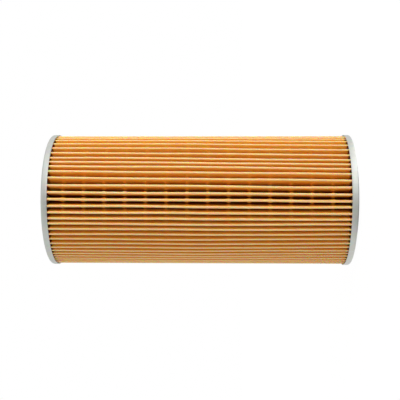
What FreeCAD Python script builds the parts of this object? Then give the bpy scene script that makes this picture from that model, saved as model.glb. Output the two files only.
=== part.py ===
"""Pleated paper filter element for a hydraulic tank or return line.

The element stands on its lower gasket: +Z runs along its axis, and the origin is the centre of the
lower gasket's sealing face. Angles round the axis start at the front, -Y, and grow towards +X.
Lengths are in millimetres and angles in degrees.
"""

import FreeCAD
import Part
import math
import os

# Whole element
cap_diameter = 130.0
body_length = 296.0  # from the face of one end cap to the face of the other
pleat_depth = 20.6  # from the crests of the paper to its inner folds

# End caps, each pressed from one sheet of plated steel
cap_sheet = 0.8
rim_height = 6.0
rim_bend = 1.2  # inside radius between the face and the rim
collar_height = 12.0  # from the cap's face to the collar's free edge
collar_bend = 1.2  # inside radius between the face and the collar
press_bend = 0.5  # inside radius of the bends of the channel and the bead
channel_depth = 1.0  # how far the gasket channel is pressed in
channel_step = 2.0  # width of the sloping step at each side of the channel
bead_height = 0.8  # how far the stiffening bead between channel and rim is pressed in
bead_spread = 1.8  # from the middle of the bead to the middle of each of its feet

# Flat gaskets, glued into the channels
gasket_width = 7.4
gasket_thickness = 3.0
gasket_round = 0.4
gasket_clearance = 0.3  # to each side of the channel's flat floor

# Centre tube, rolled from perforated steel sheet with a lapped seam at the back
tube_sheet = 1.0
tube_clearance = 0.2  # round the collar inside the tube
tube_lift = 0.5  # from the end of the collar's bend to the tube's end
tube_hole = 10.5
tube_columns = 10
tube_rows = 11
tube_end_margin = 24.0  # from the tube's end to the middle of the first row of holes
tube_lap_width = 9.0
tube_lap_margin = 0.8  # from each edge of the lap to the stretch that the holes share
tube_lap_clearance = 1.5  # from the collar's edge to the lap's trimmed end

# Pleated paper
paper = 0.7
pleat_count = 68
crest_bend = 0.8  # radius of the paper's middle line at the outer folds
valley_bend = 0.6  # radius of the paper's middle line at the inner folds
crest_clearance = 0.3  # between the crests and the caps' rims
valley_clearance = 0.3  # between the inner folds and the tube

# Where the pack is stretched (+) or crowded (-): middle and spread in degrees, share of the pitch
spacing_zones = [
    (58.5, 20.0, 0.33),
    (33.5, 7.5, -0.31),
    (14.5, 12.0, 0.14),
    (-21.5, 9.0, -0.14),
    (-55.5, 18.5, -0.20),
    (100.0, 25.0, -0.32),
]

# Steel clip that closes the paper's two end legs into one pleat, at the back
seam_angle = 180.0
clip_sheet = 0.4
clip_height = 8.0  # from the clip's mouth to the edge of the legs inside it
leg_gap = 0.1  # glue line between the two legs
leg_bend = 3.0  # radius of the paper's middle line where the legs part below the clip

# Potting compound that beds the paper and the tube in each cap
potting_level = 4.0  # from the cap's face to the surface that carries the paper

# Sizes that follow from those above
cap_radius = cap_diameter / 2
media_outer_radius = cap_radius - cap_sheet - crest_clearance
media_inner_radius = media_outer_radius - pleat_depth
tube_outer_radius = media_inner_radius - valley_clearance
tube_inner_radius = tube_outer_radius - tube_sheet
tube_seat = cap_sheet + collar_bend + tube_lift
collar_radius = tube_inner_radius - tube_clearance - cap_sheet
collar_turn_radius = collar_radius + cap_sheet + collar_bend
rim_turn_radius = cap_radius - cap_sheet - rim_bend
pressed_width = gasket_width + 2 * (gasket_clearance + channel_step + bead_spread)
flat_width = (rim_turn_radius - collar_turn_radius - pressed_width) / 3  # beside channel and bead
channel_inner_radius = collar_turn_radius + flat_width + channel_step
gasket_inner_radius = channel_inner_radius + gasket_clearance
gasket_outer_radius = gasket_inner_radius + gasket_width
channel_outer_radius = gasket_outer_radius + gasket_clearance
bead_radius = rim_turn_radius - flat_width - bead_spread
gasket_stand_out = gasket_thickness - channel_depth
total_length = body_length + 2 * gasket_stand_out
lower_face = gasket_stand_out
tube_length = body_length - 2 * tube_seat
media_length = body_length - 2 * potting_level
leg_offset = paper / 2 + leg_gap / 2
leg_end_radius = media_outer_radius - paper - leg_gap / 2 - clip_sheet
clip_mouth_radius = leg_end_radius - clip_height

axis = FreeCAD.Vector(0, 0, 1)
origin = FreeCAD.Vector(0, 0, 0)


def around(angle, radius, sideways=0.0):
    """A point at this angle and radius, moved sideways in the direction of growing angle."""
    a = math.radians(angle)
    x = radius * math.sin(a) + sideways * math.cos(a)
    y = -radius * math.cos(a) + sideways * math.sin(a)
    return FreeCAD.Vector(x, y, 0)


def side_edges(chain, offset):
    """Lines and arcs of a path that runs tangent to a chain of circles, moved to its left by offset.

    A link of the chain is (centre, radius). The radius is positive where the path turns left round
    the circle, negative where it turns right, and zero at the two ends of the path.
    """
    legs = []
    for (centre, radius), (next_centre, next_radius) in zip(chain, chain[1:]):
        across = next_centre - centre
        swing = math.asin((next_radius - radius) / across.Length)
        heading = math.atan2(across.y, across.x) - swing
        left = FreeCAD.Vector(-math.sin(heading), math.cos(heading), 0)
        start = centre - left * (radius - offset)
        end = next_centre - left * (next_radius - offset)
        legs.append((start, end, heading))
    edges = []
    for k, (start, end, heading) in enumerate(legs):
        edges.append(Part.LineSegment(start, end).toShape())
        if k + 1 < len(legs):
            centre, radius = chain[k + 1]
            next_start, _, next_heading = legs[k + 1]
            turn = (next_heading - heading) % (2 * math.pi)
            if radius < 0:
                turn -= 2 * math.pi
            middle = heading + turn / 2
            left = FreeCAD.Vector(-math.sin(middle), math.cos(middle), 0)
            crown = centre - left * (radius - offset)
            edges.append(Part.Arc(end, crown, next_start).toShape())
    return edges


def start_of(edges):
    """The first point of a run of edges."""
    return edges[0].Vertexes[0].Point


def end_of(edges):
    """The last point of a run of edges."""
    return edges[-1].Vertexes[-1].Point


def strip_face(chain, thickness):
    """The section of a sheet of this thickness whose middle line follows the chain."""
    left = side_edges(chain, thickness / 2)
    right = side_edges(chain, -thickness / 2)
    far_end = Part.LineSegment(end_of(left), end_of(right)).toShape()
    near_end = Part.LineSegment(start_of(right), start_of(left)).toShape()
    return Part.Face(Part.Wire(left + [far_end] + right[::-1] + [near_end]))


def turned(section):
    """A solid of revolution from a section drawn with x as the radius and y as the height."""
    upright = section.copy()
    upright.rotate(origin, FreeCAD.Vector(1, 0, 0), 90)
    return upright.revolve(origin, axis, 360)


def ring(inner_radius, outer_radius, height):
    """A plain ring that stands on the plane z = 0."""
    return Part.makeCylinder(outer_radius, height).cut(Part.makeCylinder(inner_radius, height))


def cap_chain(rim_end, collar_end):
    """The middle line of the cap's sheet, from the rim inwards and up the collar.

    x is the radius, and y the height over the cap's face, which looks down.
    """
    half = cap_sheet / 2
    rim_turn = rim_bend + half
    press_turn = press_bend + half
    collar_turn = collar_bend + half
    foot = half + press_turn
    channel_crown = half + channel_depth - press_turn
    bead_crown = half + bead_height - press_turn
    links = [
        (cap_radius - half, rim_end, 0),
        (rim_turn_radius, half + rim_turn, -rim_turn),
        (bead_radius + bead_spread, foot, -press_turn),
        (bead_radius, bead_crown, press_turn),
        (bead_radius - bead_spread, foot, -press_turn),
        (channel_outer_radius + channel_step, foot, -press_turn),
        (channel_outer_radius, channel_crown, press_turn),
        (channel_inner_radius, channel_crown, press_turn),
        (channel_inner_radius - channel_step, foot, -press_turn),
        (collar_turn_radius, half + collar_turn, -collar_turn),
        (collar_radius + half, collar_end, 0),
    ]
    return [(FreeCAD.Vector(x, y, 0), radius) for x, y, radius in links]


def end_cap():
    """The pressed cap, with its face on the plane z = 0 and its rim and collar above it."""
    return turned(strip_face(cap_chain(rim_height, collar_height), cap_sheet))


def potting():
    """The compound poured into the cap, stepped down under the tube's end."""
    bed = side_edges(cap_chain(potting_level, tube_seat), -cap_sheet / 2)
    corners = [
        end_of(bed),
        FreeCAD.Vector(tube_outer_radius, tube_seat, 0),
        FreeCAD.Vector(tube_outer_radius, potting_level, 0),
        start_of(bed),
    ]
    top = [Part.LineSegment(a, b).toShape() for a, b in zip(corners, corners[1:])]
    return turned(Part.Face(Part.Wire(bed + top)))


def gasket():
    """The flat sealing ring, with its sealing face on the plane z = 0."""
    body = ring(gasket_inner_radius, gasket_outer_radius, gasket_thickness)
    rims = [edge for edge in body.Edges if isinstance(edge.Curve, Part.Circle)]
    width = gasket_outer_radius - gasket_inner_radius
    rounding = min(gasket_round, 0.4 * gasket_thickness, 0.4 * width)
    return body.makeFillet(rounding, rims)


def centre_tube():
    """The perforated tube, with its lower end on the plane z = 0."""
    body = ring(tube_inner_radius, tube_outer_radius, tube_length)
    lap_start = collar_height - tube_seat + tube_lap_clearance
    lap_angle = math.degrees(tube_lap_width / tube_inner_radius)
    lap = ring(tube_inner_radius - tube_sheet, tube_outer_radius, tube_length - 2 * lap_start)
    sector = Part.makeCylinder(tube_outer_radius, tube_length, origin, axis, lap_angle)
    lap.translate(FreeCAD.Vector(0, 0, lap_start))
    sector.rotate(origin, axis, seam_angle - 90 - lap_angle / 2)
    return body.fuse(lap.common(sector)).cut(Part.makeCompound(tube_holes())).removeSplitter()


def tube_holes():
    """Drills for the tube's holes, in rows staggered by half a pitch, clear of the lapped seam."""
    blank_half = math.degrees((tube_lap_width / 2 + tube_lap_margin) / tube_inner_radius)
    column_pitch = (360.0 - 2 * blank_half) / tube_columns
    row_pitch = (tube_length - 2 * tube_end_margin) / (tube_rows - 1)
    drills = []
    for row in range(tube_rows):
        stagger = 0.25 if row % 2 == 0 else 0.75
        height = FreeCAD.Vector(0, 0, tube_end_margin + row * row_pitch)
        for column in range(tube_columns):
            angle = seam_angle + blank_half + (column + stagger) * column_pitch
            reach = 2 * tube_sheet + tube_hole
            start = around(angle, tube_inner_radius - reach / 2)
            drills.append(Part.makeCylinder(tube_hole / 2, reach, start + height, around(angle, 1)))
    return drills


def crest_angles():
    """The angle of each crest, counted round from the seam, with the zones' uneven spacing."""
    steps = 1440
    turn = 360.0 / steps
    travelled = [0.0]
    for k in range(steps):
        angle = seam_angle - 360.0 + (k + 0.5) * turn
        stretch = 1.0
        for middle, spread, share in spacing_zones:
            stretch += share * math.exp(-(((angle - middle) / spread) ** 2))
        travelled.append(travelled[-1] + turn / stretch)
    angles = []
    k = 0
    for crest in range(pleat_count + 1):
        wanted = min(crest * travelled[-1] / pleat_count, travelled[-1])
        while k < steps - 1 and travelled[k + 1] < wanted:
            k += 1
        part = (wanted - travelled[k]) / (travelled[k + 1] - travelled[k])
        angles.append(seam_angle - 360.0 + (k + part) * turn)
    return angles


def media():
    """The paper folded round the tube, with its two end legs side by side at the seam.

    The inner folds are evenly spaced, so a pleat leans where its crest is not above them.
    """
    crest_radius = media_outer_radius - paper / 2 - crest_bend
    valley_radius = media_inner_radius + paper / 2 + valley_bend
    bend_radius = clip_mouth_radius - leg_gap
    bend_offset = leg_offset + leg_bend
    angles = crest_angles()
    chain = [
        (around(seam_angle, leg_end_radius, leg_offset), 0),
        (around(seam_angle, bend_radius, bend_offset), -leg_bend),
    ]
    for k in range(pleat_count):
        if k > 0:
            chain.append((around(angles[k], crest_radius), crest_bend))
        valley_angle = seam_angle - 360.0 + (k + 0.5) * 360.0 / pleat_count
        chain.append((around(valley_angle, valley_radius), -valley_bend))
    chain.append((around(seam_angle, bend_radius, -bend_offset), -leg_bend))
    chain.append((around(seam_angle, leg_end_radius, -leg_offset), 0))
    return strip_face(chain, paper).extrude(FreeCAD.Vector(0, 0, media_length))


def seam_clip():
    """The folded steel strip that grips the paper's two end legs along their whole length."""
    half_width = paper + leg_gap / 2 + clip_sheet / 2
    chain = [
        (around(seam_angle, clip_mouth_radius, -half_width), 0),
        (around(seam_angle, leg_end_radius), half_width),
        (around(seam_angle, clip_mouth_radius, half_width), 0),
    ]
    return strip_face(chain, clip_sheet).extrude(FreeCAD.Vector(0, 0, media_length))


def placed(shape, height):
    """The shape lifted to this height."""
    lifted = shape.copy()
    lifted.translate(FreeCAD.Vector(0, 0, height))
    return lifted


def opposite(shape):
    """The shape's mirror image at the other end of the element."""
    return shape.mirror(FreeCAD.Vector(0, 0, total_length / 2), axis)


def nodes():
    """Every piece of the element in its place, by name."""
    lower = {
        "lower_gasket": gasket(),
        "lower_end_cap": placed(end_cap(), lower_face),
        "lower_potting": placed(potting(), lower_face),
    }
    pieces = dict(lower)
    for name, shape in lower.items():
        pieces[name.replace("lower", "upper")] = opposite(shape)
    pieces["centre_tube"] = placed(centre_tube(), lower_face + tube_seat)
    pieces["pleated_media"] = placed(media(), lower_face + potting_level)
    pieces["seam_clip"] = placed(seam_clip(), lower_face + potting_level)
    return pieces


os.makedirs("parts", exist_ok=True)
for node_name, node_shape in nodes().items():
    node_shape.exportStep(f"parts/{node_name}.step")
    solids = len(node_shape.Solids)
    print(f"{node_name}: {solids} solid, valid {node_shape.isValid()}, {node_shape.Volume:.0f} mm3")
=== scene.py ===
"""Looks of a pleated hydraulic filter element that stands on its lower gasket.

+Z runs along the element's axis. The camera looks at its -Y side, rolled so that +X is up and the
lower end is at the right. Angles round the axis start at -Y and grow towards +X. Lengths in metres.
"""

import math

import bpy
import numpy as np
from mathutils import Matrix, Vector


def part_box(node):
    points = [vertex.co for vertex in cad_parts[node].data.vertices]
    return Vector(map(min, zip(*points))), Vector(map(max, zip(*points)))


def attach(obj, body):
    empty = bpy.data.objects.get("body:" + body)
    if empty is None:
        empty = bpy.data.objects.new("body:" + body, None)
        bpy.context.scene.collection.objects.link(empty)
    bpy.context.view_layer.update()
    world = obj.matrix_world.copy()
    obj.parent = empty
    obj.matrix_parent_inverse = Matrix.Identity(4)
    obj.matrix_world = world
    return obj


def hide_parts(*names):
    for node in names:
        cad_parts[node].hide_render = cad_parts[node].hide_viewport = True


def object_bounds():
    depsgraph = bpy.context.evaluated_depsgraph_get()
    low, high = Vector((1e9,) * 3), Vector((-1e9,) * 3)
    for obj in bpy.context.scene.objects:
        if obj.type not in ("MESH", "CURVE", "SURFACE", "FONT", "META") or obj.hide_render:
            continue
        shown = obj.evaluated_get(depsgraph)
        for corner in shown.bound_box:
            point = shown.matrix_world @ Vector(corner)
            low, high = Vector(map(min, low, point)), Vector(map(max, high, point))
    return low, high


MM = 0.001
WELD = 0.001 * MM  # distance under which points of a mesh are merged

# Pleated paper
PAPER = 0.7 * MM
PLEATS = 68
CREST_BEND = 0.8 * MM  # radius of the paper's middle line at the outer folds
VALLEY_BEND = 0.6 * MM
VALLEY_CLEARANCE = 0.3 * MM  # between the inner folds and the tube
SEAM_ANGLE = math.radians(180.0)
ZONE_STEPS = 1440  # steps round the axis in which the zones' spacing is summed
# Where the pack is stretched (+) or crowded (-): middle and spread in degrees, share of the pitch
SPACING_ZONES = [
    (58.5, 20.0, 0.33),
    (33.5, 7.5, -0.31),
    (14.5, 12.0, 0.14),
    (-21.5, 9.0, -0.14),
    (-55.5, 18.5, -0.20),
    (100.0, 25.0, -0.32),
]
LEG_GAP = 0.1 * MM  # glue line between the sheet's two end legs, at the seam
LEG_BEND = 3.0 * MM
CLIP_SHEET = 0.4 * MM
CLIP_HEIGHT = 8.0 * MM

# Spacers pressed out of the pleats' walls, which keep the pleats apart
SPACER_ROWS = 14
SPACER_PITCH = 19.5 * MM
SPACER_FIRST = 19.6 * MM  # from the upper cap's face to the first row
SPACER_HALF_WIDTH = 2.6 * MM
SPACER_PROFILE = (-1.0, -0.45, 0.0, 0.45, 1.0)  # heights across a spacer, in half widths
SPACER_FLAT = 0.15  # how far from its middle a spacer stays full, in half widths
SPACER_REACH = 0.38  # share of the open gap that each of two facing spacers fills
SPACER_TOP = (2.0 * MM, 6.0 * MM)  # depths below the crest where a spacer starts and is full
SPACER_FOOT = (13.0 * MM, 19.0 * MM)

# Depths below the crests between which painted shade turns the paper from dark to light amber, and then
# a painted highlight makes it pale
SHADE_FULL_DEPTH = 18.0 * MM
SHADE_START_DEPTH = 2.0 * MM
HIGHLIGHT_START = 1.0 * MM
HIGHLIGHT_FULL = 0.25 * MM
# Distances from the paper's ends between which the painted shade by the caps' rims fades
END_SHADE_SPAN = (2.2 * MM, 4.0 * MM)

# How the pleats stray sideways along the element
TURNED = math.radians(-0.45)  # all of them alike
TIGHT_END = math.radians(-2.6)  # at the lower end, where those in view crowd together
LOOSE_END = math.radians(0.9)  # at the upper end, where those in view sway to one side
DRIFT_ANGLE = math.radians(11.0)  # the crowding's middle is this far towards -X, the sway's towards +X
DRIFT_POWER = 0.8  # exponent of the stray's growth from mid-length to an end
# Waves along each pleat: how many in its length, their size, and a number that spreads their phases
CREST_WAVES = [
    (1.3, math.radians(0.2), 2.1),
    (2.6, math.radians(0.06), 4.7),
    (4.4, math.radians(0.02), 1.3),
]
SEAM_HOLD = math.radians(14.0)  # from the seam to where the pleats stray freely

# Mesh of the paper
CREST_STEPS = 6  # straight steps round an outer fold
VALLEY_STEPS = 3
WALL_SHARES = (0.0, 0.08, 0.2, 0.45, 1.0)  # places down a wall, dense near its crest
INNER_LEVELS = 10  # heights at which the side towards the tube has points
SMOOTH_BELOW = math.radians(50.0)

# End caps, and the gasket and tube that they are shaped round
CAP_SHEET = 0.8 * MM
RIM_HEIGHT = 6.0 * MM
RIM_BEND = 1.2 * MM
COLLAR_HEIGHT = 12.0 * MM
COLLAR_BEND = 1.2 * MM
PRESS_BEND = 0.5 * MM
CHANNEL_DEPTH = 1.0 * MM
CHANNEL_STEP = 2.0 * MM
BEAD_HEIGHT = 0.8 * MM
BEAD_SPREAD = 1.8 * MM
GASKET_WIDTH = 7.4 * MM
GASKET_CLEARANCE = 0.3 * MM
TUBE_SHEET = 1.0 * MM
TUBE_CLEARANCE = 0.2 * MM
CAP_SEGMENTS = 240
CAP_ARC = math.radians(16.0)  # largest turn between two rings of a bend
EDGE_ROUNDING = 0.18 * MM
EDGE_STEPS = 2
EDGE_ANGLE = math.radians(60.0)  # edges sharper than this are rounded
SPANGLE_SHARE = 0.05  # share of the zinc crystals' many colours in the plate's

# Stage: levels are shares of white, and directions turn from -Y towards +X
FLOOR_SIZE = 8.0
FLOOR_GREY = 0.88
FLOOR_NEAR = 0.3  # distance from the axis where the floor's shadows start to fade to white
FLOOR_FAR = 0.9
FLOOR_WHITE = 0.955  # share of plain white in the floor that the camera sees, up to FLOOR_NEAR
FLOOR_STRENGTH = 1.02
EVEN_LEVEL = 0.64
# What bright metal mirrors: base level, rise towards +X, then level, direction and focus of the key
# and of the dim side
WORLD_MIRRORED = (0.82, 0.2, (0.44, math.radians(60.0), 8.0), (0.27, math.radians(-13.0), 12.0))
FLOOR_MIRRORED = (0.93, 0.0, (0.72, math.radians(35.0), 7.0), (0.38, math.radians(-10.0), 9.0))
RISE_FULL = 0.9  # how far a direction points towards +X, from 0 to 1, where the rise is full
LAMP_DISTANCE = 1.2
LAMP_SIZE = 0.5
LAMP_RISE = 0.1  # how far along Z a lamp stands, as a share of its distance
# Name, direction and watts
LAMPS = [
    ("high_lamp", math.radians(60.0), 5.9),
    ("front_lamp", math.radians(45.0), 1.3),
    ("low_lamp", math.radians(-30.0), 0.6),
    ("back_lamp", math.radians(180.0), 3.0),
]

# Camera, as the photograph was taken
CAMERA_DISTANCE = 0.812
CAMERA_RISE = -0.0003  # along X
CAMERA_SHIFT = -0.0211  # along Z from the element's middle
CAMERA_YAW = math.radians(1.53)
CAMERA_ROLL = math.radians(0.10)
CAMERA_LENS = 72.54  # in millimetres, like the sensor's width
CAMERA_SENSOR = 36.0

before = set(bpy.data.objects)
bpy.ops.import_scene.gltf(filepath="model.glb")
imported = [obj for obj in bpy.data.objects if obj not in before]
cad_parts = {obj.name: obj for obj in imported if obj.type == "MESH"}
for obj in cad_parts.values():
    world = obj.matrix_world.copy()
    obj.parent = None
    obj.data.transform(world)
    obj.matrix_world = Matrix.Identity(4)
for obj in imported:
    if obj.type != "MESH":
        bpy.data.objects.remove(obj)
cad_low, cad_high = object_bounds()
lower_cap_low, lower_cap_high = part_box("lower_end_cap")
_, upper_cap_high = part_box("upper_end_cap")
media_low, media_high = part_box("pleated_media")
_, tube_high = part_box("centre_tube")

CAP_RADIUS = lower_cap_high.x
AXIS_MIDDLE = (cad_low.z + cad_high.z) / 2
MEDIA_BOTTOM = media_low.z
MEDIA_TOP = media_high.z
MEDIA_OUTER = media_high.x
TUBE_OUTER = tube_high.x
MEDIA_INNER = TUBE_OUTER + VALLEY_CLEARANCE


# Materials

WHITE = (1.0, 1.0, 1.0, 1.0)


class Wire:
    """One output of a shader node. Arithmetic on it adds Math nodes to its finish."""

    def __init__(self, finish, socket):
        self.finish = finish
        self.socket = socket

    def maths(self, operation, *operands):
        return self.finish.node("ShaderNodeMath", {"operation": operation}, dict(enumerate(operands)))

    def __add__(self, other):
        return self.maths("ADD", self, other)

    def __sub__(self, other):
        return self.maths("SUBTRACT", self, other)

    def __rsub__(self, other):
        return self.maths("SUBTRACT", other, self)

    def __mul__(self, other):
        return self.maths("MULTIPLY", self, other)

    def __truediv__(self, other):
        return self.maths("DIVIDE", self, other)

    def __pow__(self, other):
        return self.maths("POWER", self, other)

    __radd__ = __add__
    __rmul__ = __mul__

    def size(self):
        return self.maths("ABSOLUTE", self)

    def at_least(self, floor):
        return self.maths("MAXIMUM", self, floor)

    def step(self, low, high):
        """0 below low, 1 above high, and smooth in between."""
        settings = {"interpolation_type": "SMOOTHSTEP"}
        values = {"Value": self, "From Min": low, "From Max": high}
        return self.finish.node("ShaderNodeMapRange", settings, values)


class Finish:
    """A material whose nodes are added from code."""

    def __init__(self, name, tree_owner=None):
        self.owner = tree_owner or bpy.data.materials.new(name)
        self.owner.use_nodes = True
        self.tree = self.owner.node_tree
        self.tree.nodes.clear()

    def node(self, kind, settings=None, values=None, output=None):
        """Adds a node, with its settings first, and returns the named output, or the first in use."""
        made = self.tree.nodes.new(kind)
        for name, value in (settings or {}).items():
            setattr(made, name, value)
        for key, value in (values or {}).items():
            socket = made.inputs[key] if isinstance(key, int) else self.input_named(made, key)
            if isinstance(value, Wire):
                self.tree.links.new(value.socket, socket)
            else:
                socket.default_value = value
        outputs = [s for s in made.outputs if s.enabled and (output is None or s.name == output)]
        return Wire(self, outputs[0]) if outputs else made

    @staticmethod
    def input_named(made, name):
        return next(s for s in made.inputs if s.enabled and s.name == name)

    def place(self):
        return self.node("ShaderNodeTexCoord", output="Object")

    def parts_of(self, vector):
        split = self.node("ShaderNodeSeparateXYZ", None, {"Vector": vector})
        outputs = split.socket.node.outputs
        return Wire(self, outputs["X"]), Wire(self, outputs["Y"]), Wire(self, outputs["Z"])

    def stretched(self, scale):
        return self.node("ShaderNodeMapping", None, {"Vector": self.place(), "Scale": scale})

    def noise(self, scale, detail=3.0, roughness=0.5, stretch=(1, 1, 1)):
        values = {"Vector": self.stretched(stretch), "Scale": scale}
        values.update({"Detail": detail, "Roughness": roughness})
        return self.node("ShaderNodeTexNoise", None, values)

    def mixed(self, share, first, second):
        settings = {"data_type": "RGBA"}
        return self.node("ShaderNodeMix", settings, {"Factor": share, "A": first, "B": second})

    def bump(self, height, strength, distance):
        values = {"Height": height, "Strength": strength, "Distance": distance}
        return self.node("ShaderNodeBump", None, values)

    def surface(self, shader):
        self.node("ShaderNodeOutputMaterial", None, {"Surface": shader})
        return self.owner

    def principled(self, **values):
        named = {name.replace("_", " "): value for name, value in values.items()}
        return self.node("ShaderNodeBsdfPrincipled", None, named)


def colour(red, green, blue):
    return (red, green, blue, 1.0)


def amber_paper():
    """Resin-impregnated amber filter paper, with a painted highlight over its outer folds, painted
    shade deeper in the pleats and painted shade by the caps at its ends.
    """
    finish = Finish("amber_paper")
    x, y, z = finish.parts_of(finish.place())
    radius = (x * x + y * y) ** 0.5
    # Painted highlight: the paper is made pale over its outer folds, where the light falls on the
    # crests.
    crest_highlight = radius.step(MEDIA_OUTER - HIGHLIGHT_START, MEDIA_OUTER - HIGHLIGHT_FULL)
    from_end = (MEDIA_TOP - MEDIA_BOTTOM) / 2 - (z - AXIS_MIDDLE).size()
    # Painted shade: the paper is darkened near its ends, where the caps' rims shade the gaps, but not
    # over the outer folds.
    end_shade = (1 - from_end.step(*END_SHADE_SPAN)) * (1 - crest_highlight)
    mottle = finish.noise(scale=700.0, detail=4.0, roughness=0.6, stretch=(1, 1, 0.4))
    cloud = finish.noise(scale=60.0, detail=2.0)
    # Painted shade: the paper darkens down the pleats towards the tube, where the gaps are deep.
    deep_shade_colour = finish.mixed(mottle, colour(0.27, 0.046, 0.002), colour(0.37, 0.078, 0.004))
    shallow = finish.mixed(mottle, colour(0.77, 0.31, 0.030), colour(0.91, 0.42, 0.050))
    unshaded_share = radius.step(MEDIA_OUTER - SHADE_FULL_DEPTH, MEDIA_OUTER - SHADE_START_DEPTH)
    # The paper's own amber near the crests, with painted shade deeper down.
    body = finish.mixed(unshaded_share, deep_shade_colour, shallow)
    # Colours of the painted highlight over the outer folds.
    crest_highlight_colour = finish.mixed(cloud, colour(0.92, 0.59, 0.25), colour(0.97, 0.71, 0.37))
    paper_before_end_shade = finish.mixed(crest_highlight, body, crest_highlight_colour)
    # Colour of the painted shade at the paper's ends.
    end_shade_colour = colour(0.22, 0.05, 0.006)
    fibres = finish.noise(scale=2600.0, detail=3.0, stretch=(1, 1, 0.25))
    return finish.surface(
        finish.principled(
            Base_Color=finish.mixed(end_shade, paper_before_end_shade, end_shade_colour),
            Roughness=0.72 + 0.15 * mottle,
            Subsurface_Weight=1.0,
            Subsurface_Radius=(1.0, 0.42, 0.12),
            Subsurface_Scale=0.6 * MM,
            Specular_IOR_Level=0.3,
            Normal=finish.bump(fibres, strength=0.25, distance=0.2 * MM),
        )
    )


def zinc_plate():
    """Zinc-plated pressed steel: satin, with a faint spangle and handling marks."""
    finish = Finish("zinc_plate")
    crystals = {"Vector": finish.place(), "Scale": 260.0}
    spangle = finish.node("ShaderNodeTexVoronoi", None, crystals, "Color")
    patch = finish.noise(scale=70.0, detail=4.0)
    grain = finish.noise(scale=1400.0, detail=2.0)
    tint = finish.mixed(patch, colour(0.56, 0.585, 0.545), colour(0.65, 0.66, 0.62))
    return finish.surface(
        finish.principled(
            Base_Color=finish.mixed(SPANGLE_SHARE, tint, spangle),
            Metallic=1.0,
            Roughness=0.34 + 0.12 * patch,
            Normal=finish.bump(grain, strength=0.12, distance=0.1 * MM),
        )
    )


def galvanised_sheet():
    """Perforated tube and clip: duller rolled steel."""
    finish = Finish("galvanised_sheet")
    patch = finish.noise(scale=120.0, detail=4.0)
    grain = finish.noise(scale=900.0, detail=2.0, stretch=(1, 1, 0.1))
    tint = finish.mixed(patch, colour(0.52, 0.54, 0.55), colour(0.66, 0.68, 0.68))
    return finish.surface(
        finish.principled(
            Base_Color=tint,
            Metallic=1.0,
            Roughness=0.38 + 0.15 * patch,
            Normal=finish.bump(grain, strength=0.1, distance=0.1 * MM),
        )
    )


def gasket_rubber():
    """Black oil-proof rubber with a faint cut grain."""
    finish = Finish("gasket_rubber")
    grain = finish.noise(scale=1200.0, detail=4.0)
    return finish.surface(
        finish.principled(
            Base_Color=finish.mixed(grain, colour(0.018, 0.018, 0.019), colour(0.035, 0.035, 0.036)),
            Roughness=0.55 + 0.2 * grain,
            Normal=finish.bump(grain, strength=0.3, distance=0.2 * MM),
        )
    )


def potting_resin():
    """Cream potting compound that set with a slightly uneven skin."""
    finish = Finish("potting_resin")
    swell = finish.noise(scale=160.0, detail=3.0)
    return finish.surface(
        finish.principled(
            Base_Color=finish.mixed(swell, colour(0.62, 0.50, 0.31), colour(0.76, 0.64, 0.43)),
            Roughness=0.42 + 0.15 * swell,
            Normal=finish.bump(swell, strength=0.4, distance=0.6 * MM),
        )
    )


# Modelling helpers


def deselect():
    bpy.ops.object.select_all(action="DESELECT")


def use_finish(piece, material):
    piece.data.materials.clear()
    piece.data.materials.append(material)


def finished(piece, name, material, node):
    """Names a piece, gives it its finish and lets it stand for its CAD node."""
    piece.name = name
    use_finish(piece, material)
    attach(piece, "root")
    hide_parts(node)


# The pleated paper


def around(angle, radius, sideways=0.0):
    """A point as a complex number, moved sideways in the direction of growing angle."""
    outwards = -1j * np.exp(1j * np.asarray(angle))
    return outwards * (radius + 1j * sideways)


def crest_angles():
    """The angle of each crest, counted round from the seam, with the zones' uneven spacing."""
    edges = np.linspace(-180.0, 180.0, ZONE_STEPS + 1)
    middles = (edges[1:] + edges[:-1]) / 2
    stretch = np.ones(ZONE_STEPS)
    for zone_middle, spread, share in SPACING_ZONES:
        stretch += share * np.exp(-(((middles - zone_middle) / spread) ** 2))
    travelled = np.concatenate([[0.0], np.cumsum(1 / stretch)])
    wanted = np.linspace(0.0, travelled[-1], PLEATS + 1)
    return np.radians(np.interp(wanted, travelled, edges))


def smooth(values, low, high):
    """0 at low, 1 at high, and smooth in between."""
    share = np.clip((values - low) / (high - low), 0, 1)
    return share * share * (3 - 2 * share)


def spacer_height(row):
    return upper_cap_high.z - SPACER_FIRST - row * SPACER_PITCH


def level_heights():
    """Heights of the outer skin's levels: both ends, and several across each row of spacers."""
    heights = [MEDIA_BOTTOM, MEDIA_TOP]
    for row in range(SPACER_ROWS):
        heights += [spacer_height(row) + share * SPACER_HALF_WIDTH for share in SPACER_PROFILE]
    return np.array(sorted(heights))


def spacer_swell(heights):
    """How much of the spacers' rise there is at each height, from 0 to 1."""
    swell = np.zeros(len(heights))
    for row in range(SPACER_ROWS):
        off = np.abs(heights - spacer_height(row)) / SPACER_HALF_WIDTH
        swell = np.maximum(swell, smooth(off, 1.0, SPACER_FLAT))
    return swell


def open_gaps(angles, radii):
    """The open width between the walls of one pleat and the next, at these places."""
    crests = crest_angles()
    nearest = np.clip(np.searchsorted(crests, angles) - 1, 0, PLEATS - 1)
    outer = np.diff(crests)[nearest] * MEDIA_OUTER - 2 * (CREST_BEND + PAPER / 2)
    inner = 2 * (VALLEY_BEND - PAPER / 2)
    share = np.clip((radii - MEDIA_INNER) / (MEDIA_OUTER - MEDIA_INNER), 0, 1)
    return inner + (outer - inner) * share


def clear_of_seam(angles):
    """0 at the seam, where the clip holds the paper straight, rising to 1 beside it."""
    turned = np.abs(np.angle(np.exp(1j * (angles - SEAM_ANGLE))))
    return np.clip(turned / SEAM_HOLD, 0, 1)


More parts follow.
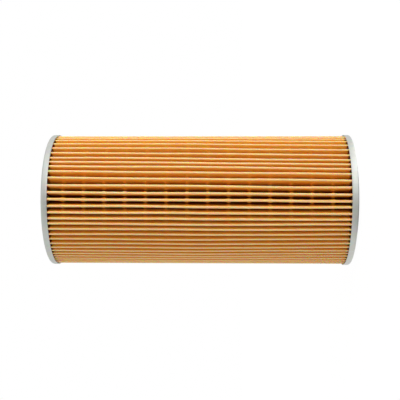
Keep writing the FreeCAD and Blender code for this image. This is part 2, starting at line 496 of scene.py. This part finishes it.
def wander(angles, heights):
    """How far each pleat strays sideways along its length, in radians: one row for each height."""
    share = (heights - AXIS_MIDDLE) / (MEDIA_TOP - AXIS_MIDDLE)
    crowding = TIGHT_END * np.sin(angles + DRIFT_ANGLE)
    sway = LOOSE_END * np.cos(angles - DRIFT_ANGLE)
    below = np.clip(-share, 0, 1) ** DRIFT_POWER
    above = np.clip(share, 0, 1) ** DRIFT_POWER
    drift = TURNED + np.outer(below, crowding) + np.outer(above, sway)
    number = np.arange(len(angles))
    for cycles, size, seed in CREST_WAVES:
        phase = seed * number * number
        drift = drift + size * np.sin(math.pi * cycles * share[:, None] + phase[None, :])
    return drift * clear_of_seam(angles)


def pleat_chain(heights):
    """Centre and radius of each circle that the paper's middle line runs round, at every height."""
    leg_end = MEDIA_OUTER - PAPER - LEG_GAP / 2 - CLIP_SHEET
    leg_offset = (PAPER + LEG_GAP) / 2
    bend_radius = leg_end - CLIP_HEIGHT - LEG_GAP
    bend_offset = leg_offset + LEG_BEND
    crest_radius = MEDIA_OUTER - PAPER / 2 - CREST_BEND
    valley_radius = MEDIA_INNER + PAPER / 2 + VALLEY_BEND
    seam = SEAM_ANGLE + np.zeros(len(heights))
    angles = crest_angles()
    strayed = wander(angles, heights)
    crests = angles + strayed
    valley_strayed = (strayed[:, 1:] + strayed[:, :-1]) / 2
    chain = [
        (around(seam, leg_end, leg_offset), 0.0),
        (around(seam, bend_radius, bend_offset), -LEG_BEND),
    ]
    for k in range(PLEATS):
        if k > 0:
            chain.append((around(crests[:, k], crest_radius), CREST_BEND))
        valley = seam + (k + 0.5) * 2 * math.pi / PLEATS + valley_strayed[:, k]
        chain.append((around(valley, valley_radius), -VALLEY_BEND))
    chain.append((around(seam, bend_radius, -bend_offset), -LEG_BEND))
    chain.append((around(seam, leg_end, -leg_offset), 0.0))
    return chain


def run_headings(chain):
    """The heading of each straight run between a chain's circles."""
    headings = []
    for (centre, radius), (next_centre, next_radius) in zip(chain, chain[1:]):
        across = next_centre - centre
        headings.append(np.angle(across) - np.arcsin((next_radius - radius) / np.abs(across)))
    return headings


def sampled(chain, offset, run_shares, bend_steps):
    """Points along a path that keeps offset to the left of a chain, and which way is left at each."""
    headings = run_headings(chain)
    points, lefts = [], []
    for k, heading in enumerate(headings):
        (centre, radius), (next_centre, next_radius) = chain[k : k + 2]
        left = 1j * np.exp(1j * heading)
        start = centre - left * (radius - offset)
        end = next_centre - left * (next_radius - offset)
        for share in run_shares(radius, next_radius):
            points.append(start + (end - start) * share)
            lefts.append(left)
        if k + 1 < len(headings):
            turn = (headings[k + 1] - heading) % (2 * math.pi)
            if next_radius < 0:
                turn = turn - 2 * math.pi
            steps = bend_steps(next_radius, turn)
            for step in range(1, steps):
                left = 1j * np.exp(1j * (heading + turn * step / steps))
                points.append(next_centre - left * (next_radius - offset))
                lefts.append(left)
    return np.stack(points, axis=-1), np.stack(lefts, axis=-1)


def wall_shares(radius, next_radius):
    """Places along a wall, denser near the crest that it leaves or reaches."""
    if radius > 0:
        return WALL_SHARES
    if next_radius > 0:
        return [1 - share for share in reversed(WALL_SHARES)]
    return (0.0, 1.0)


def paper_fold_steps(radius, turn):
    return CREST_STEPS if radius > 0 else VALLEY_STEPS


def skin(heights, offset, reach):
    """One side of the folded paper, as heights by columns by 3. Spacers fill this share of a gap."""
    points, lefts = sampled(pleat_chain(heights), offset, wall_shares, paper_fold_steps)
    radii = np.abs(points)
    angles = np.angle(points * 1j)
    depth = MEDIA_OUTER - radii
    shape = smooth(depth, *SPACER_TOP) * smooth(depth, *reversed(SPACER_FOOT))
    sideways = np.abs((lefts * np.conj(points)).imag) / radii
    rise = reach * open_gaps(angles, radii) * shape * sideways * clear_of_seam(angles)
    points = points - lefts * rise * spacer_swell(heights)[:, None]
    upright = np.broadcast_to(heights[:, None], points.shape)
    return np.stack([points.real, points.imag, upright], axis=2)


def fold_paper():
    """A flat grid folded into the pleats: up the outer side, over the edge and down the inner side."""
    outer = skin(level_heights(), -PAPER / 2, SPACER_REACH)
    inner = skin(np.linspace(MEDIA_TOP, MEDIA_BOTTOM, INNER_LEVELS), PAPER / 2, 0.0)
    rows = np.concatenate([outer, inner, outer[:1]])
    deselect()
    bpy.ops.mesh.primitive_grid_add(x_subdivisions=rows.shape[1] - 1, y_subdivisions=rows.shape[0] - 1)
    paper = bpy.context.object
    paper.data.vertices.foreach_set("co", rows.astype(np.float32).ravel())
    bpy.ops.object.mode_set(mode="EDIT")
    bpy.ops.mesh.select_all(action="SELECT")
    bpy.ops.mesh.remove_doubles(threshold=WELD)
    bpy.ops.mesh.fill_holes(sides=0)
    bpy.ops.mesh.select_all(action="SELECT")
    bpy.ops.mesh.normals_make_consistent(inside=False)
    bpy.ops.object.mode_set(mode="OBJECT")
    bpy.ops.object.shade_smooth_by_angle(angle=SMOOTH_BELOW)
    return paper


# The pressed end caps


def cap_chain():
    """Middle line of the cap's sheet, from the rim's edge to the collar's, as radius + height * 1j."""
    half = CAP_SHEET / 2
    press_turn = PRESS_BEND + half
    foot = half + press_turn
    channel_crown = half + CHANNEL_DEPTH - press_turn
    bead_crown = half + BEAD_HEIGHT - press_turn
    collar_radius = TUBE_OUTER - TUBE_SHEET - TUBE_CLEARANCE - CAP_SHEET
    collar_turn_radius = collar_radius + CAP_SHEET + COLLAR_BEND
    rim_turn_radius = CAP_RADIUS - CAP_SHEET - RIM_BEND
    pressed_width = GASKET_WIDTH + 2 * (GASKET_CLEARANCE + CHANNEL_STEP + BEAD_SPREAD)
    flat_width = (rim_turn_radius - collar_turn_radius - pressed_width) / 3  # beside channel and bead
    channel_inner = collar_turn_radius + flat_width + CHANNEL_STEP
    channel_outer = channel_inner + GASKET_WIDTH + 2 * GASKET_CLEARANCE
    bead = rim_turn_radius - flat_width - BEAD_SPREAD
    links = [
        (CAP_RADIUS - half, RIM_HEIGHT, 0.0),
        (rim_turn_radius, CAP_SHEET + RIM_BEND, -(RIM_BEND + half)),
        (bead + BEAD_SPREAD, foot, -press_turn),
        (bead, bead_crown, press_turn),
        (bead - BEAD_SPREAD, foot, -press_turn),
        (channel_outer + CHANNEL_STEP, foot, -press_turn),
        (channel_outer, channel_crown, press_turn),
        (channel_inner, channel_crown, press_turn),
        (channel_inner - CHANNEL_STEP, foot, -press_turn),
        (collar_turn_radius, CAP_SHEET + COLLAR_BEND, -(COLLAR_BEND + half)),
        (collar_radius + half, COLLAR_HEIGHT, 0.0),
    ]
    return [(np.array(radius + height * 1j), turn) for radius, height, turn in links]


def cap_run_shares(radius, next_radius):
    return (0.0, 0.5, 1.0)


def cap_bend_steps(radius, turn):
    return max(2, math.ceil(abs(float(turn)) / CAP_ARC))


def drawn_ring(profile, face, upwards):
    """An open shell drawn ring by ring from a circle, through these radii and heights over the face."""
    first = profile[0]
    deselect()
    bpy.ops.mesh.primitive_circle_add(
        vertices=CAP_SEGMENTS, radius=first.real, location=(0, 0, face + upwards * first.imag)
    )
    shell = bpy.context.object
    bpy.ops.object.transform_apply(location=True)
    bpy.ops.object.mode_set(mode="EDIT")
    bpy.ops.mesh.select_all(action="SELECT")
    for here, ahead in zip(profile, profile[1:]):
        growth = ahead.real / here.real
        bpy.ops.mesh.extrude_region_move(
            TRANSFORM_OT_translate={"value": (0, 0, upwards * (ahead.imag - here.imag))}
        )
        bpy.ops.transform.resize(value=(growth, growth, 1), center_override=(0, 0, 0))
    bpy.ops.object.mode_set(mode="OBJECT")
    return shell


def apply_modifiers(piece):
    bpy.context.view_layer.objects.active = piece
    for modifier in list(piece.modifiers):
        bpy.ops.object.modifier_apply(modifier=modifier.name)


def clean_mesh(piece):
    """Merges points that meet, and turns every face outwards."""
    bpy.context.view_layer.objects.active = piece
    bpy.ops.object.mode_set(mode="EDIT")
    bpy.ops.mesh.select_all(action="SELECT")
    bpy.ops.mesh.remove_doubles(threshold=WELD)
    bpy.ops.mesh.normals_make_consistent(inside=False)
    bpy.ops.object.mode_set(mode="OBJECT")


def end_cap(name, node, face, upwards):
    """One sheet of plated steel pressed into rim, bead, gasket channel and collar."""
    middle_line, _ = sampled(cap_chain(), 0.0, cap_run_shares, cap_bend_steps)
    cap = drawn_ring([complex(point) for point in middle_line], face, upwards)
    clean_mesh(cap)
    sheet = cap.modifiers.new("sheet", "SOLIDIFY")
    sheet.thickness = CAP_SHEET
    sheet.offset = 0.0
    sheet.use_even_offset = True
    edges = cap.modifiers.new("edges", "BEVEL")
    edges.width = EDGE_ROUNDING
    edges.segments = EDGE_STEPS
    edges.limit_method = "ANGLE"
    edges.angle_limit = EDGE_ANGLE
    apply_modifiers(cap)
    clean_mesh(cap)
    bpy.ops.object.shade_smooth_by_angle(angle=SMOOTH_BELOW)
    finished(cap, name, zinc, node)


# Stage


def beam(x, y, level, direction, focus):
    """A level that falls away smoothly on both sides of a direction round the axis."""
    along = x * math.sin(direction) - y * math.cos(direction)
    return level * along.at_least(0.0) ** focus


def mirrored_level(x, y, base, rise, key, dim):
    """How bright the metal sees a direction: a base, a rise towards +X, a key and a dim side."""
    return base + rise * x.step(0.0, RISE_FULL) + beam(x, y, *key) - beam(x, y, *dim)


def ray_kind(finish, kind):
    return finish.node("ShaderNodeLightPath", output=kind)


def pale_floor():
    """Plain to the light and its shadows, white to the camera, and like the studio to bright metal."""
    finish = Finish("pale_floor")
    x, y, _ = finish.parts_of(finish.place())
    away = (x * x + y * y) ** 0.5
    level = mirrored_level(x / away, y / away, *FLOOR_MIRRORED)
    grey = colour(FLOOR_GREY, FLOOR_GREY, FLOOR_GREY)
    plain = finish.node("ShaderNodeBsdfDiffuse", None, {"Color": grey})
    white = finish.node("ShaderNodeEmission", None, {"Color": WHITE, "Strength": FLOOR_STRENGTH})
    studio = finish.node("ShaderNodeEmission", None, {"Color": WHITE, "Strength": level})
    far = away.step(FLOOR_NEAR, FLOOR_FAR)
    share = (FLOOR_WHITE + (1 - FLOOR_WHITE) * far) * ray_kind(finish, "Is Camera Ray")
    seen = finish.node("ShaderNodeMixShader", None, {0: share, 1: plain, 2: white})
    glossy = ray_kind(finish, "Is Glossy Ray")
    return finish.surface(finish.node("ShaderNodeMixShader", None, {0: glossy, 1: seen, 2: studio}))


def studio_world():
    """Even light all round, which the camera sees as white and bright metal as the studio."""
    world = bpy.data.worlds.new("studio")
    bpy.context.scene.world = world
    finish = Finish("studio", world)
    x, y, _ = finish.parts_of(finish.node("ShaderNodeTexCoord", output="Generated"))
    even = finish.node("ShaderNodeBackground", None, {"Color": WHITE, "Strength": EVEN_LEVEL})
    level = mirrored_level(x, y, *WORLD_MIRRORED)
    studio = finish.node("ShaderNodeBackground", None, {"Color": WHITE, "Strength": level})
    white = finish.node("ShaderNodeBackground", None, {"Color": WHITE, "Strength": 1.0})
    glossy = ray_kind(finish, "Is Glossy Ray")
    lit = finish.node("ShaderNodeMixShader", None, {0: glossy, 1: even, 2: studio})
    from_camera = ray_kind(finish, "Is Camera Ray")
    mixed = finish.node("ShaderNodeMixShader", None, {0: from_camera, 1: lit, 2: white})
    finish.node("ShaderNodeOutputWorld", None, {"Surface": mixed})


def soft_lamp(name, direction, power):
    """A square lamp at this angle round the axis, which the metal doesn't mirror."""
    middle = Vector((0, 0, AXIS_MIDDLE))
    place = middle + LAMP_DISTANCE * Vector((math.sin(direction), -math.cos(direction), LAMP_RISE))
    data = bpy.data.lights.new(name, "AREA")
    data.shape = "SQUARE"
    data.size = LAMP_SIZE
    data.energy = power
    lamp = bpy.data.objects.new(name, data)
    lamp.location = place
    lamp.rotation_euler = (middle - place).to_track_quat("-Z", "Y").to_euler()
    lamp.visible_glossy = False
    bpy.context.scene.collection.objects.link(lamp)


def camera():
    data = bpy.data.cameras.new("camera")
    data.lens = CAMERA_LENS
    data.sensor_width = CAMERA_SENSOR
    ahead = Vector((0, math.cos(CAMERA_YAW), math.sin(CAMERA_YAW)))
    right = Vector((0, math.sin(CAMERA_YAW), -math.cos(CAMERA_YAW)))
    up = right.cross(ahead)
    turned = Matrix((right, up, -ahead)).transposed().to_4x4() @ Matrix.Rotation(CAMERA_ROLL, 4, "Z")
    seen_by = bpy.data.objects.new("camera", data)
    place = Matrix.Translation((CAMERA_RISE, -CAMERA_DISTANCE, AXIS_MIDDLE + CAMERA_SHIFT))
    seen_by.matrix_world = place @ turned
    bpy.context.scene.collection.objects.link(seen_by)
    bpy.context.scene.camera = seen_by


def stage():
    bpy.context.scene.view_settings.view_transform = "Standard"
    deselect()
    bpy.ops.mesh.primitive_plane_add(size=FLOOR_SIZE, location=(0, 0, 0))
    floor = bpy.context.object
    floor.name = "floor"
    use_finish(floor, pale_floor())
    studio_world()
    for name, direction, power in LAMPS:
        soft_lamp(name, direction, power)
    camera()


paper_finish = amber_paper()
zinc = zinc_plate()
sheet_steel = galvanised_sheet()
rubber = gasket_rubber()
compound = potting_resin()

finished(fold_paper(), "pleated_paper", paper_finish, "pleated_media")
end_cap("lower_cap", "lower_end_cap", lower_cap_low.z, 1)
end_cap("upper_cap", "upper_end_cap", upper_cap_high.z, -1)
for node, material in (
    ("lower_potting", compound),
    ("upper_potting", compound),
    ("centre_tube", sheet_steel),
    ("seam_clip", sheet_steel),
    ("lower_gasket", rubber),
    ("upper_gasket", rubber),
):
    use_finish(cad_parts[node], material)
stage()
